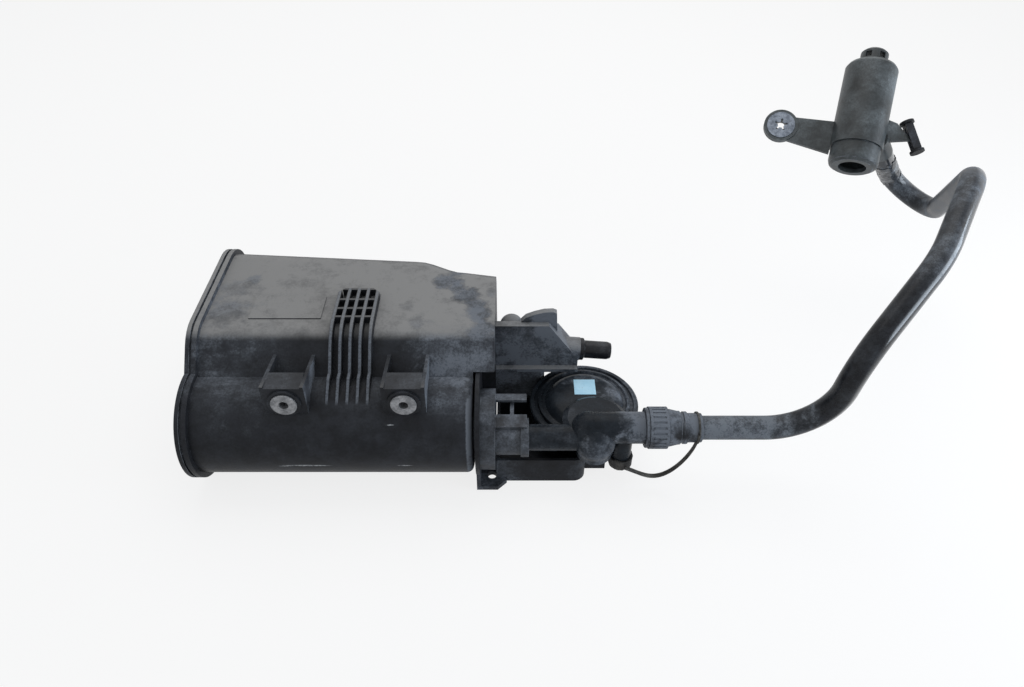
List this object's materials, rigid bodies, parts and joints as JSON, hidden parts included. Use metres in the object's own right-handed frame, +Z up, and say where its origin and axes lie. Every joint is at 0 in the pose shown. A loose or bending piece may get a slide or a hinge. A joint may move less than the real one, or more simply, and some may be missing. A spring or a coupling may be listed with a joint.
{
  "type": "charcoal canister",
  "caption": "Two-chamber carbon canister that stores fuel vapour, with a leak detector and a formed vent pipe ending in a vent filter.",
  "frame": {"origin": "midway between the two bracket inserts, on their outer faces", "axes": "+X along the canister towards the leak detector and the vent pipe, +Y from the brackets' faces to the back, +Z up as the canister lies in the picture"},
  "size_m": [0.6434, 0.3285, 0.2292],
  "materials": {
    "housing_plastic": "satin moulded nylon, dusty and scuffed",
    "block_plastic": "satin moulded nylon, dusty",
    "carrier_plastic": "matt black moulding",
    "detector_plastic": "satin black moulding, dusty",
    "nipple_plastic": "smooth glossy black",
    "pipe_plastic": "smooth extruded nylon, dusty in places",
    "filter_plastic": "matt moulding under greenish dust",
    "clip_plastic": "matt black moulding",
    "film": "thin torn film",
    "zinc_steel": "dull zinc plating",
    "spring_steel": "drawn wire",
    "carbon": "packed carbon granules",
    "fleece": "felted filter fleece",
    "foam": "open foam",
    "plate_plastic": "moulded, perforated",
    "seal_rubber": "moulded rubber",
    "label": "bare pale sticker"
  },
  "bodies": {
    "root": {"canister_housing": "housing_plastic", "end_cover": "housing_plastic", "main_carbon_bed": "carbon", "bleed_carbon_bed": "carbon", "main_retainer_plate": "plate_plastic", "bleed_retainer_plate": "plate_plastic", "main_spring_front": "spring_steel", "main_spring_rear": "spring_steel", "bleed_spring": "spring_steel", "main_plate_fleece": "fleece", "main_port_fleece": "fleece", "bleed_plate_fleece": "fleece", "bleed_vent_fleece": "fleece", "left_bracket_insert": "zinc_steel", "right_bracket_insert": "zinc_steel", "port_block": "block_plastic", "tank_nipple": "nipple_plastic", "purge_nipple": "nipple_plastic", "detector_carrier": "carrier_plastic", "vent_end_cap": "block_plastic", "vent_seal": "seal_rubber", "detector_base": "carrier_plastic", "detector_cover": "detector_plastic", "detector_seal": "seal_rubber", "diaphragm": "seal_rubber", "diaphragm_spring": "spring_steel", "detector_label": "label", "drain_cap": "seal_rubber", "pipe_connector": "detector_plastic", "connector_lock_ring": "carrier_plastic", "connector_seal": "seal_rubber", "vent_pipe": "pipe_plastic", "pipe_cuff": "film", "filter_body": "filter_plastic", "filter_base": "filter_plastic", "filter_element": "foam", "lug_push_nut": "spring_steel", "edge_clip": "clip_plastic"}
  },
  "joints": []
}
